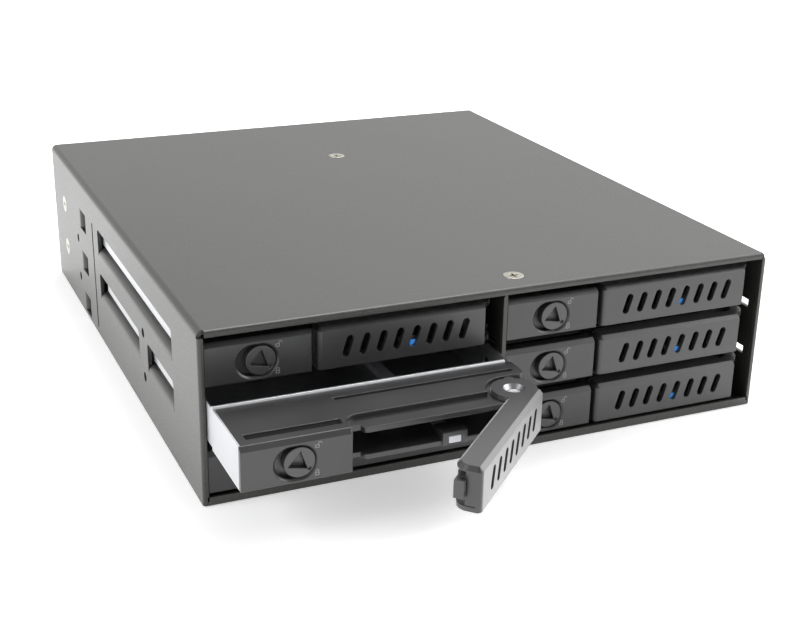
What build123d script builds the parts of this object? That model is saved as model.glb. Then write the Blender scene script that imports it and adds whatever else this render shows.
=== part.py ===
from build123d import *
import os
from math import cos, radians, sin

# Hot swap cage: six trays for 2.5 inch drives in one 5.25 inch half-height bay.
# X runs to the right seen from the front, Y into the cage, Z up, in millimetres.
# Pieces are drawn with Y measured from the cage's front plane. When they are written
# they move back by half the depth, so that the origin is the centre of the underside.

# Cage envelope and sheet metal
cage_width = 146.0
cage_height = 41.3
cage_depth = 165.5
half_width = cage_width / 2
sheet = 1.0
fold_radius = 1.6
seam = 0.1

# Front edge of the cage
side_lip = 1.3
lip_round = 0.8
top_lip = 1.5
bottom_lip = 2.0
corner_relief = 1.6

# Rows and trays
columns = ("left", "right")
rows = ("bottom", "middle", "top")
row_bottom = 2.55
row_top_room = 0.5
row_gap = 2.75
row_pitch = (cage_height - row_bottom - row_top_room) / len(rows)
tray_height = row_pitch - row_gap
tray_gap = 0.2
face_setback = 0.5
pulled_tray = "left_middle"
pull_out = 24.4
lever_open = 44.4
rear_room = 40.5
board_front = cage_depth - rear_room

# Guide flaps lanced from the walls, one bent inwards under each raised tray
guide_gap = 0.2
flap_bend = 2.0
flap_reach = 6.0
flap_relief = 0.4
guide_front = 22.4
guide_rear_room = 24.0
guide_rear = board_front - guide_rear_room
guide_rise = 5.35
guide_corner = 1.2
cam_slot_front = 4.0
cam_slot_length = 5.0
cam_slot_height = 2.0
cam_slot_drop = 0.5
inner_guide_split = (60.0, 66.0)

# Locating tabs for the backplane, and the slit in front of them
tab_bend = 1.6
tab_reach = 5.5
tab_height = 5.8
tab_relief = 0.2
tab_rise = 1.4
tab_window = 8.0
slit_room = 17.0
slit_y = board_front - slit_room
slit_width = 1.2
slit_bottom = 2.0
slit_top_room = 8.3
slit_top = cage_height - slit_top_room

# Standard 5.25 inch mounting holes, M3
mount_hole_r = 1.25
mount_y = 51.0
mount_pitch_y = 79.25
mount_low_z = 10.0
mount_pitch_z = 11.84
base_mount_inset = 3.15
base_mount_pitch_x = cage_width - 2 * base_mount_inset
bridge_front_room = 4.0
bridge_rear_room = 4.6
guide_bridge = (mount_y - bridge_front_room, mount_y + bridge_rear_room)

# Bottom plate
base_tab_length = 9.0
base_tab_count = 4
base_tab_first = 22.0
base_tab_rear_room = 21.5
bead_inset = 12.0
bead_foot = 5.0
bead_crest = 3.2
bead_front = 10.0
bead_rear_room = 9.0
bead_rear = board_front - bead_rear_room

# Centre wall
centre_front = 0.3
centre_flange = 9.2
centre_flange_front = 3.0
centre_flange_overhang = 5.0
centre_flange_rear = board_front + centre_flange_overhang
board_flange = 5.4
board_flange_margin = 4.0

# Countersunk M3 screws
screw_head_r = 2.5
screw_neck_r = 1.6
screw_shank_r = 1.25
screw_length = 2.2
screw_play = 0.1
screw_thread_play = 0.02
cross_length = 2.6
cross_width = 0.6
cross_depth = 0.5
cover_screw_x = 5.8
cover_screw_rear_room = 1.5
cover_screw_y = (8.0, board_front - cover_screw_rear_room)
base_screw_rear_room = 15.0
base_screw_y = (20.0, board_front - base_screw_rear_room)
side_screw_room = 16.1
side_screw_y = cage_depth - side_screw_room
side_screw_z = (13.3, 26.8)
board_screw_x = -2.6
board_screw_inset = 5.8
board_screw_length = 3.0
board_head_r = 2.3
board_head_height = 1.2

# Backplane
board_thick = 1.6
board_side_gap = 0.4
board_bottom = 2.2
board_top_room = 2.4
board_top = cage_height - board_top_room
vent_length = 15.0
vent_height = 2.0
vent_pitch = 20.0
vent_count = 3

# Drive sockets and lamps on the front of the board
socket_width = 37.0
socket_height = 5.2
socket_depth = 5.3
socket_from_right = 24.2
socket_rise = 3.3
socket_slot_height = 2.0
socket_slot_depth = 4.0
signal_slot = 10.4
power_slot = 20.6
socket_slot_gap = 2.4
lamp_width = 2.0
lamp_depth = 1.4

# Ports on the back of the board
port_depth = 9.0
port_height = 6.2
port_wall = 0.9
port_floor = 1.5
tongue_height = 1.2
tongue_side_gap = 1.8
data_port_width = 16.6
data_port_x = (-15.8, 9.1)
data_port_squeeze = 1.15
data_port_pitch_z = row_pitch - data_port_squeeze
power_port_width = 23.4
power_port_x = (21.6, 28.4)

# Rear panel
panel_flange = 20.5
cable_window_side_room = 1.0
cable_window_bottom = 4.5
cable_window_top_room = 4.5
cable_window_top = cage_height - cable_window_top_room
cable_window_corner = 3.0
guard_edge = 0.5
guard_slot = 2.5
guard_ring_pitch = 4.1
guard_ring_count = 2
guard_spoke = 1.8

# Fans
fan_room = 3.3
fan_size = cage_height - fan_room
fan_depth = 15.0
fan_corner = 3.5
fan_rim = 1.1
fan_bore_r = fan_size / 2 - fan_rim
fan_hole_inset = 3.5
fan_hole_pitch = fan_size - 2 * fan_hole_inset
fan_hole_r = 1.65
fan_side_gap = 1.5
fan_centre_x = half_width - 2 * sheet - fan_side_gap - fan_size / 2
motor_plate_r = 9.6
motor_plate_thick = 1.5
strut_width = 2.4
bearing_r = 2.5
bearing_play = 0.05
shaft_r = 1.0
hub_r = 9.8
hub_wall = 1.0
hub_length = 12.0
hub_end_gap = 0.7
blade_count = 7
blade_root_r = 9.3
blade_tip_gap = 0.8
blade_tip_r = fan_bore_r - blade_tip_gap
blade_chord = 10.5
blade_thick = 0.8
blade_root_pitch = 40.0
blade_tip_pitch = 28.0
fan_screw_length = 12.0

# Carrier of a tray
side_sheet = 0.4
tray_end_gap = 2.2
carrier_length = board_front - face_setback - tray_end_gap
rim_thick = 1.2
rim_rise = 0.6
rim_round = 0.55
rim_right_room = 1.5
floor_fold = 0.9
drive_rear_gap = 1.05
drive_lift = 2.2
drive_hole_r = 1.6
drive_hole_rise = 3.0
drive_hole_from_rear = (14.0, 90.6)
floor_hole_inset = 4.54
lead_in_length = 6.0
lead_in_height = 2.5

# Front moulding of a tray
front_depth = 19.2
block_width = 23.7
mould_wall = 1.2
face_wall = 3.0
face_bevel = 1.0
face_wrap = 1.2
face_round = 0.35
shelf_thick = 1.2
shelf_gap = 0.1
shelf_front = 2.0
shelf_notch_width = 3.3
shelf_notch_depth = 3.6
shelf_notch_round = 1.2
shelf_pivot_r = 4.6
step_gap = 0.3
nest_radius = 3.5
nest_front = 3.0
pocket_r = 6.3
arm_end_round = 1.5
pivot_boss_r = 2.8
back_wall = 1.5
back_vent_margin = 3.0
back_vent_count = 4
back_vent_bridge = 2.4
groove_depth = 0.5
groove_width = 1.2
block_groove_v = 3.4
block_groove_width = 2.2
block_groove_inset = 1.9
block_groove_end = 0.8
arm_groove_v = 14.5
arm_groove_inset = 1.6
hook_window_rear = 8.2
hook_window_room = 0.4

# Lamp boss and light pipe
pipe_from_right = 22.4
pipe_width = 2.9
pipe_height = 1.6
pipe_play = 0.1
pipe_window_bottom = 1.75
pipe_floor_gap = 0.1
pipe_slope_front = 8.0
pipe_slope_length = 4.0
pipe_end_gap = 0.3
boss_width = 5.8
boss_height = 3.1
boss_front = 1.6
boss_depth = 5.0

# Lever
lever_gap = 1.4
lever_wall = 1.2
lever_depth = 6.2
lever_end_round = 3.2
lever_corner = 1.1
lever_bevel = 0.9
lever_edge_round = 0.3
lever_low_round = 0.5
pivot_from_right = 6.15
pivot_v = 6.1
lever_past_pivot = 1.75
ear_r = 5.2
nose_r = 1.2
nose_reach = 6.0
nose_angle = 30.0
pin_r = 1.5
pin_play = 0.05
pin_press = 0.02
pin_foot = 0.2
countersink_r = 2.5
countersink_depth = 1.0
slot_count = 8
slot_first = 7.2
slot_last = 5.3
slot_share = 0.52
slot_width = 1.75
slot_lean = 73.2
slot_centre_share = 0.49
end_wall_inset = 0.2
end_wall_thick = 1.1
hook_gap = 0.3
hook_front = 4.3
hook_thick = 1.2
hook_lip = 1.0
hook_low_room = 0.7
hook_top_room = 0.3
hook_root = 3.6

# Latch slider, lock disc and spring
disc_from_left = 12.2
disc_centre_w = 0.45 * tray_height
disc_r = 0.34 * tray_height
recess_margin = 0.15
recess_bevel = 0.5
disc_face = 0.2
latch_travel = 1.5
recess_spare = 0.3
recess_depth = 2.2
disc_floor_gap = 0.1
hub_post_r = 0.1 * tray_height
hub_post_play = 0.05
hub_slot_play = 0.15
key_r = 0.253 * tray_height
key_shift = 0.023 * tray_height
key_depth = 1.5
key_turn = -11.0
dot_r = 0.043 * tray_height
dot_reach = 0.267 * tray_height
dot_angle = -39.0
dot_depth = 0.4
slider_thick = 2.0
slider_gap = 0.1
slider_left_reach = 4.2
slider_right_reach = 5.8
slider_room = 0.4
slider_corner = 0.8
catch_top_room = 0.4
catch_gap = 0.2
spring_wire = 0.35
spring_half_height = 1.0
spring_turns = 5
spring_end_gap = 0.1

tray_width = half_width - side_lip - sheet / 2 - 2 * tray_gap
inner_top = cage_height - sheet
lever_left = side_sheet + block_width + lever_gap
pivot_u = tray_width - pivot_from_right
lever_right = pivot_u + lever_past_pivot
step_v = lever_depth + step_gap
arm_front = pivot_v + pocket_r
block_right = side_sheet + block_width
pipe_u = tray_width - pipe_from_right
disc_u = side_sheet + disc_from_left
shelf_top = tray_height - lever_wall - shelf_gap
slider_front = face_wall + slider_gap
slider_rear = slider_front + slider_thick
shelf_low = lever_wall + shelf_gap + shelf_thick
shelf_high = shelf_top - shelf_thick
hook_bottom = shelf_low + hook_low_room
hook_top = shelf_high - hook_top_room
slider_half_height = disc_centre_w - mould_wall - slider_room
board_screw_z = (board_bottom + board_screw_inset, board_top - board_screw_inset)
fan_back = cage_depth - sheet
fan_z = cage_height / 2
board_back = board_front + board_thick


# Shape helpers

def rect(x0, x1, y0, y1):
    """Flat rectangle between two corners."""
    return Pos((x0 + x1) / 2, (y0 + y1) / 2) * Rectangle(abs(x1 - x0), abs(y1 - y0))


def block(x0, x1, y0, y1, z0, z1):
    """Straight block between two corners."""
    return upward(rect(x0, x1, y0, y1), z0, z1)


def upward(plan, z0, z1):
    """Plan seen from above, carried from one height to another."""
    return Pos(0, 0, z0) * extrude(plan, z1 - z0)


def inward(profile, y0, y1):
    """Profile seen from the front, carried from y0 to y1."""
    return Pos(0, y1, 0) * extrude(Plane.XZ * profile, y1 - y0)


def sideways(side, x0, x1):
    """Outline in Y and Z, carried from x0 to x1."""
    return Pos(x0, 0, 0) * extrude(Plane.YZ * side, x1 - x0)


def post(x, y, z0, z1, radius):
    return upward(Pos(x, y) * Circle(radius), z0, z1)


def rod(x, z, y0, y1, radius):
    return inward(Pos(x, z) * Circle(radius), y0, y1)


def peg(y, z, x0, x1, radius):
    return sideways(Pos(y, z) * Circle(radius), x0, x1)


def bend(centre_x, centre_y, to_x, to_y, radius):
    """Quarter of a sheet's fold, on the side of the centre that to_x and to_y give."""
    ring = Circle(radius) - Circle(radius - sheet)
    corner = rect(0, to_x * radius, 0, to_y * radius)
    return Pos(centre_x, centre_y) * (ring & corner)


# Screws and the holes that take them

def screw(length):
    """Countersunk screw, head up, its top face at height zero."""
    head = Pos(0, 0, -sheet / 2) * Cone(screw_neck_r, screw_head_r, sheet)
    shank = Pos(0, 0, -length / 2) * Cylinder(screw_shank_r, length)
    body = head + shank
    for turn in (0, 90):
        arm = Box(cross_length, cross_width, 2 * cross_depth)
        body -= Rot(0, 0, turn) * arm
    return body


def board_screw():
    """Pan head screw, head up, the underside of its head at height zero."""
    head = Pos(0, 0, board_head_height / 2) * Cylinder(board_head_r, board_head_height)
    shank = Pos(0, 0, -board_screw_length / 2) * Cylinder(screw_shank_r, board_screw_length)
    return head + shank


def countersink():
    """Cutter for a countersunk hole through one sheet, its mouth at height zero."""
    flare = (screw_head_r - screw_neck_r) / sheet * seam
    mouth = screw_head_r + screw_play + flare
    throat = screw_neck_r + screw_play - flare
    return Pos(0, 0, -sheet / 2) * Cone(throat, mouth, sheet + 2 * seam)


def screw_places():
    """Every countersunk screw of the cage: its place, with the head facing out, and its length."""
    places = []
    for y in cover_screw_y:
        places.append((Pos(cover_screw_x, y, cage_height), screw_length))
    for y in base_screw_y:
        places.append((Pos(cover_screw_x, y, 0) * Rot(180, 0, 0), screw_length))
    for z in side_screw_z:
        places.append((Pos(half_width, side_screw_y, z) * Rot(0, 90, 0), screw_length))
        places.append((Pos(-half_width, side_screw_y, z) * Rot(0, -90, 0), screw_length))
    for x, z in fan_screw_points():
        places.append((Pos(x, cage_depth, z) * Rot(-90, 0, 0), fan_screw_length))
    return places


def fan_screw_points():
    reach = fan_hole_pitch / 2
    points = []
    for fan_x in (-fan_centre_x, fan_centre_x):
        for dx in (-reach, reach):
            for dz in (-reach, reach):
                points.append((fan_x + dx, fan_z + dz))
    return points


# Cage

def row_z(row):
    return row_bottom + rows.index(row) * row_pitch


def tray_x(column):
    if column == "left":
        return -half_width + side_lip + tray_gap
    return sheet / 2 + tray_gap


def base_tab_places():
    """Even places along the depth for the base's side tabs."""
    pitch = (cage_depth - base_tab_first - base_tab_rear_room) / (base_tab_count - 1)
    return [base_tab_first + index * pitch for index in range(base_tab_count)]


def flap_profile(outer_x, inwards, top_z):
    """Flap seen from the front: the wall's sheet turned inwards through a quarter."""
    centre_x = outer_x + inwards * flap_bend
    fold = bend(centre_x, top_z - flap_bend, -inwards, 1, flap_bend)
    leaf = rect(centre_x, outer_x + inwards * flap_reach, top_z - sheet, top_z)
    return fold + leaf


def with_flap(wall, outer_x, inwards, row, y0, y1):
    """Wall with one guide window cut in it and the window's metal bent in below it."""
    top_z = row_z(row) - guide_gap
    window = rect(y0, y1, top_z - flap_bend, row_z(row) + guide_rise)
    window = fillet(window.vertices().group_by(Axis.Y)[-1], guide_corner)
    wall -= sideways(window, outer_x - inwards * seam, outer_x + inwards * (sheet + seam))
    return wall + inward(flap_profile(outer_x, inwards, top_z), y0 + flap_relief, y1 - flap_relief)


def with_board_tab(wall, outer_x, inwards, row):
    """Wall with a small window and the tab behind which the backplane sits."""
    hinge_y = board_front + tab_bend - sheet
    low = row_z(row) + tab_rise - tab_height / 2
    high = low + tab_height
    window = rect(hinge_y - tab_window, hinge_y, low, high)
    wall -= sideways(window, outer_x - inwards * seam, outer_x + inwards * (sheet + seam))
    centre_x = outer_x + inwards * tab_bend
    fold = bend(centre_x, hinge_y, -inwards, -1, tab_bend)
    leaf = rect(centre_x, outer_x + inwards * tab_reach, board_front - sheet, board_front)
    return wall + upward(fold + leaf, low + tab_relief, high - tab_relief)


def cam_slots(x):
    """Cutters for the small slots beside the levers' pivots, under the two upper rows."""
    rear = cam_slot_front + cam_slot_length
    cutters = []
    for row in ("middle", "top"):
        high = row_z(row) - cam_slot_drop
        low = high - cam_slot_height
        cutters.append(block(x - 2 * sheet, x + 2 * sheet, cam_slot_front, rear, low, high))
    return cutters


def cover():
    """Top and both sides, folded from one sheet."""
    outer = rect(-half_width, half_width, 0, cage_height)
    outer = fillet(outer.vertices().group_by(Axis.Y)[-1], fold_radius)
    inner = rect(-half_width + sheet, half_width - sheet, -sheet, inner_top)
    inner = fillet(inner.vertices().group_by(Axis.Y)[-1], fold_radius - sheet)
    shell = inward(outer - inner, 0, cage_depth)
    lip_end = half_width - side_lip
    shell += block(-lip_end, lip_end, 0, sheet, cage_height - top_lip, inner_top)
    top_edge = shell.edges().filter_by(Axis.X).group_by(Axis.Y)[0].sort_by(Axis.Z)[-1]
    shell = fillet(top_edge, lip_round)
    for side in (-1, 1):
        outer_x = side * half_width
        lip_x = side * lip_end
        shell += block(outer_x, lip_x, 0, sheet, bottom_lip + seam, cage_height - corner_relief)
        notch_x = side * (half_width - corner_relief)
        notch_z = cage_height - corner_relief
        shell -= block(outer_x + side, notch_x, -sheet, sheet, notch_z, cage_height + sheet)
        fold = rect(outer_x - side * lip_round, outer_x + side, -1, lip_round)
        fold -= Pos(outer_x - side * lip_round, lip_round) * Circle(lip_round)
        shell -= upward(fold, -sheet, cage_height + sheet)
        shell = with_flap(shell, outer_x, -side, "top", guide_front, guide_rear)
        shell = with_flap(shell, outer_x, -side, "middle", guide_front, guide_bridge[0])
        shell = with_flap(shell, outer_x, -side, "middle", guide_bridge[1], guide_rear)
        for row in rows:
            shell = with_board_tab(shell, outer_x, -side, row)
        slit = rect(slit_y - slit_width / 2, slit_y + slit_width / 2, slit_bottom, slit_top)
        shell -= sideways(slit, outer_x - 2 * sheet, outer_x + 2 * sheet)
        for y in (mount_y, mount_y + mount_pitch_y):
            for z in (mount_low_z, mount_low_z + mount_pitch_z):
                shell -= peg(y, z, outer_x - 2 * sheet, outer_x + 2 * sheet, mount_hole_r)
        for y in base_tab_places():
            reach = base_tab_length / 2 + seam
            shell -= block(outer_x - sheet, outer_x + sheet, y - reach, y + reach, -sheet, sheet + seam)
    for place, _ in screw_places()[:len(cover_screw_y)]:
        shell -= place * countersink()
    for slot in cam_slots(half_width):
        shell -= slot
    for z in side_screw_z:
        shell -= Pos(half_width, side_screw_y, z) * Rot(0, 90, 0) * countersink()
        shell -= Pos(-half_width, side_screw_y, z) * Rot(0, -90, 0) * countersink()
    return shell


def bottom_plate():
    """Base with a turned-up front lip, side tabs and pressed runner beads for the bottom trays."""
    edge = half_width - sheet - seam
    plan = rect(-edge, edge, 0, cage_depth)
    reach = base_tab_length / 2
    for y in base_tab_places():
        plan += rect(-half_width, half_width, y - reach, y + reach)
    for x in (-base_mount_pitch_x / 2, base_mount_pitch_x / 2):
        for y in (mount_y, mount_y + mount_pitch_y):
            plan -= Pos(x, y) * Circle(mount_hole_r)
    plate = upward(plan, 0, sheet)
    lip_end = half_width - side_lip - seam
    plate += block(-lip_end, lip_end, 0, sheet, 0, bottom_lip)
    for column in columns:
        for u in (bead_inset, tray_width - bead_inset):
            plate += inward(bead_profile(tray_x(column) + u), bead_front, bead_rear)
    for y in base_screw_y:
        plate -= Pos(cover_screw_x, y, 0) * Rot(180, 0, 0) * countersink()
    return plate


def bead_profile(x):
    """Runner bead seen from the front, its crest just under a bottom tray."""
    crest = row_z("bottom") - guide_gap
    foot = bead_foot / 2
    top = bead_crest / 2
    outline = Polyline((x - foot, sheet / 2), (x + foot, sheet / 2), (x + foot, sheet), (x + top, crest),
                       (x - top, crest), (x - foot, sheet), close=True)
    return make_face(outline)


def centre_wall():
    """Divider between the columns: flanges at top and bottom, and one behind for the board."""
    left = -sheet / 2
    right = sheet / 2
    fold_x = left + fold_radius
    low = sheet
    profile = rect(left, right, low + fold_radius, inner_top - fold_radius)
    profile += bend(fold_x, inner_top - fold_radius, -1, 1, fold_radius)
    profile += bend(fold_x, low + fold_radius, -1, -1, fold_radius)
    top_flange = rect(fold_x, centre_flange, inner_top - sheet, inner_top)
    profile += top_flange + rect(fold_x, centre_flange, low, low + sheet)
    wall_rear = board_front - fold_radius
    wall = inward(profile, centre_front, wall_rear)
    wall += inward(top_flange, wall_rear, centre_flange_rear)
    wall -= block(right, centre_flange + sheet, 0, centre_flange_front, 0, cage_height)
    wall -= block(left - sheet, right + sheet, 0, sheet + seam, 0, bottom_lip + seam)
    wall -= block(left - sheet, right + sheet, 0, sheet + seam, cage_height - top_lip - seam, cage_height)
    board_plan = bend(right - fold_radius, wall_rear, 1, 1, fold_radius)
    board_plan += rect(-board_flange, right - fold_radius, board_front - sheet, board_front)
    wall += upward(board_plan, board_bottom + board_flange_margin, board_top - board_flange_margin)
    for row in ("middle", "top"):
        wall = with_flap(wall, right, -1, row, guide_front, inner_guide_split[0])
        wall = with_flap(wall, left, 1, row, inner_guide_split[1], guide_rear)
    for slot in cam_slots(0):
        wall -= slot
    thread_r = screw_shank_r + screw_thread_play
    for y in cover_screw_y:
        wall -= post(cover_screw_x, y, inner_top - 2 * sheet, inner_top + sheet, thread_r)
    for y in base_screw_y:
        wall -= post(cover_screw_x, y, 0, 3 * sheet, thread_r)
    for z in board_screw_z:
        wall -= rod(board_screw_x, z, board_front - 2 * sheet, board_front + sheet, thread_r)
    return wall


def backplane_board():
    """Circuit board with air slots between the rows and two screw holes."""
    edge = half_width - tab_bend - board_side_gap
    outline = rect(-edge, edge, board_bottom, board_top)
    for column in columns:
        middle = tray_x(column) + tray_width / 2
        for row in ("middle", "top"):
            z = row_z(row) - (row_pitch - tray_height) / 2
            for index in range(vent_count):
                x = middle + (index - (vent_count - 1) / 2) * vent_pitch
                outline -= Pos(x, z) * SlotOverall(vent_length, vent_height)
    for z in board_screw_z:
        outline -= Pos(board_screw_x, z) * Circle(screw_neck_r + screw_play)
    return inward(outline, board_front, board_back)


def drive_sockets():
    """Six drive connectors, each with a short signal slot and a long power slot."""
    sockets = []
    front = board_front - socket_depth
    for column in columns:
        for row in rows:
            x = tray_x(column) + tray_width - socket_from_right
            z = row_z(row) + socket_rise
            left = x - socket_width / 2
            body = block(left, left + socket_width, front, board_front, z, z + socket_height)
            slots = signal_slot + socket_slot_gap + power_slot
            start = x - slots / 2
            low = z + (socket_height - socket_slot_height) / 2
            for width in (power_slot, signal_slot):
                cut_rear = front + socket_slot_depth
                body -= block(start, start + width, front - 1, cut_rear, low, low + socket_slot_height)
                start += width + socket_slot_gap
            sockets.append(body)
    return Compound(sockets)


def status_leds():
    lamps = []
    for column in columns:
        for row in rows:
            x = tray_x(column) + pipe_u
            z = row_z(row) + side_sheet + pipe_floor_gap
            low_x = x - lamp_width / 2
            lamp_front = board_front - lamp_depth
            lamp = block(low_x, low_x + lamp_width, lamp_front, board_front, z, z + pipe_height)
            lamps.append(lamp)
    return Compound(lamps)


def port(width):
    """Plug-in port lying along X, centred, opening towards +Y from the board."""
    outline = Rectangle(width, port_height)
    mouth = Rectangle(width - 2 * port_wall, port_height - 2 * port_wall)
    tongue = Rectangle(width - 2 * (port_wall + tongue_side_gap), tongue_height)
    body = inward(outline, board_back, board_back + port_depth)
    body -= inward(mouth - tongue, board_back + port_floor, board_back + port_depth + 1)
    return body


def rear_ports():
    """Six data ports in two columns and two upright power ports."""
    ports = []
    middle = cage_height / 2
    for x in data_port_x:
        for step in (-1, 0, 1):
            ports.append(Pos(x, 0, middle + step * data_port_pitch_z) * port(data_port_width))
    for x in power_port_x:
        ports.append(Pos(x, 0, middle) * Rot(0, 90, 0) * port(power_port_width))
    return Compound(ports)


def rear_panel():
    """Back plate with forward flanges, two finger guards and the cable window."""
    edge = half_width - sheet - seam
    front = cage_depth - sheet - panel_flange
    outer = rect(-edge, edge, front, cage_depth)
    outer = fillet(outer.vertices().group_by(Axis.Y)[-1], fold_radius)
    inner = rect(-edge + sheet, edge - sheet, front - sheet, fan_back)
    inner = fillet(inner.vertices().group_by(Axis.Y)[-1], fold_radius - sheet)
    panel = upward(outer - inner, sheet + seam, inner_top - (fold_radius - sheet) - seam)
    window_half = fan_centre_x - fan_size / 2 - cable_window_side_room
    window = rect(-window_half, window_half, cable_window_bottom, cable_window_top)
    window = fillet(window.vertices(), cable_window_corner)
    cuts = window
    for fan_x in (-fan_centre_x, fan_centre_x):
        for index in range(guard_ring_count):
            ring_outer = fan_bore_r - guard_edge - index * guard_ring_pitch
            ring = Circle(ring_outer) - Circle(ring_outer - guard_slot)
            for turn in (45, 135):
                ring -= Rot(0, 0, turn) * Rectangle(2 * ring_outer + sheet, guard_spoke)
            cuts += Pos(fan_x, fan_z) * ring
    panel -= inward(cuts, fan_back - seam, cage_depth + seam)
    for x, z in fan_screw_points():
        panel -= Pos(x, cage_depth, z) * Rot(-90, 0, 0) * countersink()
    for z in side_screw_z:
        for side in (-1, 1):
            thread_r = screw_shank_r + screw_thread_play
            panel -= peg(side_screw_y, z, side * edge - 2 * sheet, side * edge + 2 * sheet, thread_r)
    return panel


def fan_frame():
    """Square fan housing, its back at the rear panel, with motor plate, struts and bearing tube."""
    front = fan_back - fan_depth
    outline = RectangleRounded(fan_size, fan_size, fan_corner) - Circle(fan_bore_r)
    for dx in (-1, 1):
        for dz in (-1, 1):
            outline -= Pos(dx * fan_hole_pitch / 2, dz * fan_hole_pitch / 2) * Circle(fan_hole_r)
    frame = inward(outline, front, fan_back)
    plate = Circle(motor_plate_r)
    for turn in (0, 90):
        plate += Rot(0, 0, turn) * Rectangle(2 * fan_bore_r + sheet, strut_width)
    plate_front = fan_back - motor_plate_thick
    frame += inward(plate, plate_front, fan_back)
    frame += rod(0, 0, plate_front - hub_length / 2, plate_front, bearing_r)
    return frame - rod(0, 0, plate_front - hub_length, plate_front, shaft_r + bearing_play)


def fan_rotor():
    """Cup hub on a shaft, with twisted blades."""
    rear = fan_back - motor_plate_thick - hub_end_gap
    front = rear - hub_length
    rotor = rod(0, 0, front, rear, hub_r) - rod(0, 0, front + hub_wall, rear + 1, hub_r - hub_wall)
    rotor += rod(0, 0, front + hub_wall, rear, shaft_r)
    middle = (front + rear) / 2
    root = Plane(origin=(0, middle, blade_root_r), x_dir=(0, 1, 0), z_dir=(0, 0, 1))
    tip = Plane(origin=(0, middle, blade_tip_r), x_dir=(0, 1, 0), z_dir=(0, 0, 1))
    section = Rectangle(blade_chord, blade_thick)
    root_section = root * Rot(0, 0, blade_root_pitch) * section
    tip_section = tip * Rot(0, 0, blade_tip_pitch) * section
    blade = loft([root_section, tip_section])
    blade -= rod(0, 0, front + hub_wall, rear + 1, hub_r - hub_wall)
    for index in range(blade_count):
        rotor += Rot(0, index * 360 / blade_count, 0) * blade
    return rotor


# Tray: u from its left side, v from its face, w from its underside, in X, Y and Z

def pipe_side(play, front_v, rear_v):
    """Side outline of the light pipe: level at the window, down a slope, then level along the floor."""
    window = pipe_window_bottom
    floor = side_sheet + pipe_floor_gap
    slope_rear = pipe_slope_front + pipe_slope_length
    lower = [(front_v, window - play), (pipe_slope_front, window - play), (slope_rear, floor - play),
             (rear_v, floor - play)]
    upper = [(v + pipe_play, w + pipe_height + 2 * play) for v, w in reversed(lower[1:3])]
    corners = lower + [(rear_v, floor + pipe_height + play)] + upper
    return make_face(Polyline(*corners, (front_v, window + pipe_height + play), close=True))


def pipe_channel(rear_v):
    """Cutter that lets the light pipe through with a little play."""
    reach = pipe_width / 2 + pipe_play
    return sideways(pipe_side(pipe_play, 0, rear_v), pipe_u - reach, pipe_u + reach)


def carrier():
    """Thin bright sheet tray, open at the top and back, with a rounded rim behind the front moulding."""
    inner_right = tray_width - side_sheet
    trough = rect(0, tray_width, 0, tray_height)
    trough = fillet(trough.vertices().group_by(Axis.Y)[0], floor_fold)
    inside = rect(side_sheet, inner_right, side_sheet, 2 * tray_height)
    trough -= fillet(inside.vertices().group_by(Axis.Y)[0], floor_fold - side_sheet)
    body = inward(trough, front_depth, carrier_length)
    body += block(0, side_sheet, face_wrap, front_depth + rim_thick, 0, tray_height)
    rim_rear = front_depth + rim_thick
    rim = rect(front_depth, rim_rear, side_sheet, tray_height + rim_rise)
    rim = fillet(rim.vertices().group_by(Axis.Y)[-1], rim_round)
    body += sideways(rim, 0, tray_width - rim_right_room)
    body += block(side_sheet, inner_right, front_depth, rim_rear, side_sheet, tray_height - rim_rise)
    body -= pipe_channel(rim_rear + 1)
    drive_rear = carrier_length - drive_rear_gap
    hole_w = drive_lift + drive_hole_rise
    for distance in drive_hole_from_rear:
        body -= peg(drive_rear - distance, hole_w, -1, tray_width + 1, drive_hole_r)
        for u in (floor_hole_inset, tray_width - floor_hole_inset):
            body -= post(u, drive_rear - distance, -1, hole_w, drive_hole_r)
    end = carrier_length
    lead_in_w = tray_height - lead_in_height
    corner = Polyline((end - lead_in_length, tray_height), (end + 1, tray_height), (end + 1, lead_in_w),
                      (end, lead_in_w), close=True)
    return body - sideways(make_face(corner), -1, tray_width + 1)


def shelf_plan():
    """Inner plates that the lever's plates lie over, seen from above."""
    right = tray_width - side_sheet
    plan = rect(block_right, right, shelf_front, front_depth)
    plan -= rect(block_right, block_right + shelf_notch_width, shelf_front, shelf_notch_depth)
    notch_side = plan.vertices().sort_by_distance((block_right + shelf_notch_width, shelf_front))
    plan = fillet(notch_side[0], shelf_notch_round)
    notch_side = plan.vertices().sort_by_distance((block_right + shelf_notch_width, shelf_notch_depth))
    plan = fillet(notch_side[0], shelf_notch_depth - shelf_front - shelf_notch_round - seam)
    plan -= rect(pivot_u, right, shelf_front, pivot_v)
    return plan + Pos(pivot_u, pivot_v) * Circle(shelf_pivot_r)


def layer_plan(right):
    """Outer layer behind the lever: stepped back along its rear edge, rounded about its two ends."""
    plan = rect(block_right, right, step_v, front_depth)
    plan -= Pos(pivot_u, pivot_v) * Circle(pocket_r)
    plan -= rect(pivot_u, right, step_v, arm_front)
    plan = fillet(plan.vertices().sort_by_distance((right, arm_front))[0], arm_end_round)
    nest = rect(block_right, block_right + nest_radius, nest_front, step_v)
    nest -= Pos(block_right + nest_radius, nest_front) * Circle(step_v - nest_front)
    return plan + nest


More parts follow.
